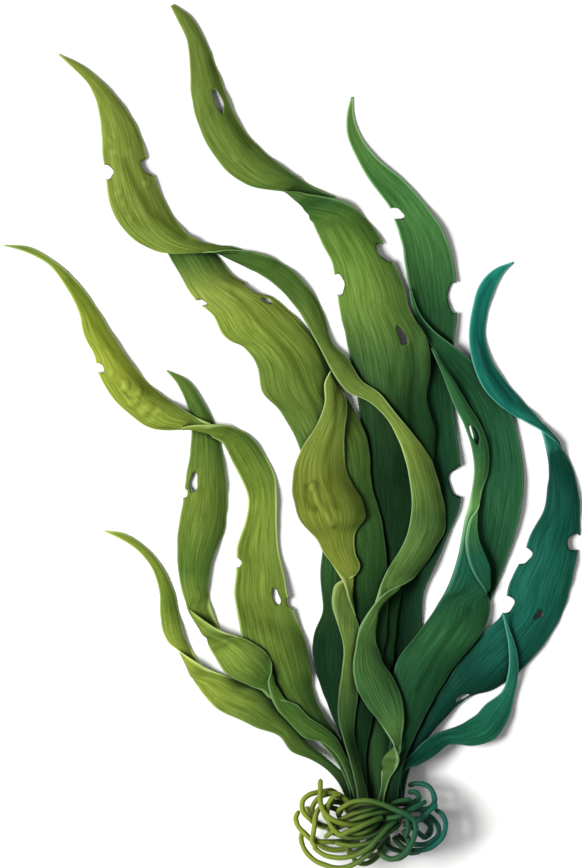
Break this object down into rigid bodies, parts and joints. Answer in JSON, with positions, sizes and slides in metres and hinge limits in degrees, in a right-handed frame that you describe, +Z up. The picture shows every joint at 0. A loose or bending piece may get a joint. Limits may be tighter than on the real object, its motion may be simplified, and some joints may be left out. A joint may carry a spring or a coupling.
{
  "type": "kelp plant with holdfast",
  "caption": "Green kelp lying spread out: wavy, twisting leathery fronds grow from one crown held in a tangled ball of root strands.",
  "frame": {"origin": "middle of the footprint, on the surface the plant lies on", "axes": "+Y from the holdfast towards the tips, +Z up off the surface, +X to the blue-green side"},
  "size_m": [0.578, 0.866, 0.0772],
  "materials": {
    "frond_olive": "satin",
    "frond_green": "satin",
    "frond_deep_green": "satin",
    "frond_teal": "satin",
    "root_olive": "satin",
    "root_green": "satin",
    "root_teal": "satin"
  },
  "bodies": {
    "root": {"right_tall_frond": "frond_deep_green", "right_back_frond": "frond_deep_green", "teal_frond": "frond_teal", "tall_frond": "frond_green", "broad_frond": "frond_green", "low_left_frond": "frond_olive", "long_left_frond": "frond_olive", "left_twisted_frond": "frond_olive", "small_teal_frond": "frond_teal", "right_front_frond": "frond_deep_green", "pouch_frond": "frond_olive", "front_ribbon_frond": "frond_green", "crown": "root_green", "hapteron_upright": "root_olive", "hapteron_left_loop": "root_olive", "hapteron_left_front_loop": "root_olive", "hapteron_left_ring": "root_olive", "hapteron_front_arc": "root_green", "hapteron_far_left_hook": "root_olive", "hapteron_bottom_outer": "root_olive", "hapteron_bottom_inner": "root_olive", "hapteron_left_brace": "root_olive", "hapteron_lower_swag": "root_green", "hapteron_inner_swag": "root_green", "hapteron_cross_strand": "root_green", "hapteron_right_top_loop": "root_teal", "hapteron_right_small_loop": "root_teal", "hapteron_teal_stub": "root_teal", "hapteron_right_outer_loop": "root_teal", "hapteron_right_inner_loop": "root_teal", "hapteron_right_core_loop": "root_teal", "hapteron_middle_hook": "root_green", "hapteron_bottom_loop": "root_green", "hapteron_low_right": "root_green", "hapteron_top_right_stub": "root_green", "hapteron_upper_swag": "root_green", "hapteron_second_arc": "root_green", "hapteron_right_cross": "root_teal", "hapteron_left_weave": "root_olive", "hapteron_core_swag": "root_green", "hapteron_low_core": "root_green", "hapteron_right_under": "root_teal", "hapteron_right_drop": "root_green", "hapteron_back_left": "root_olive", "hapteron_back_bottom": "root_olive", "hapteron_back_right": "root_teal", "hapteron_back_middle": "root_green"}
  },
  "joints": []
}
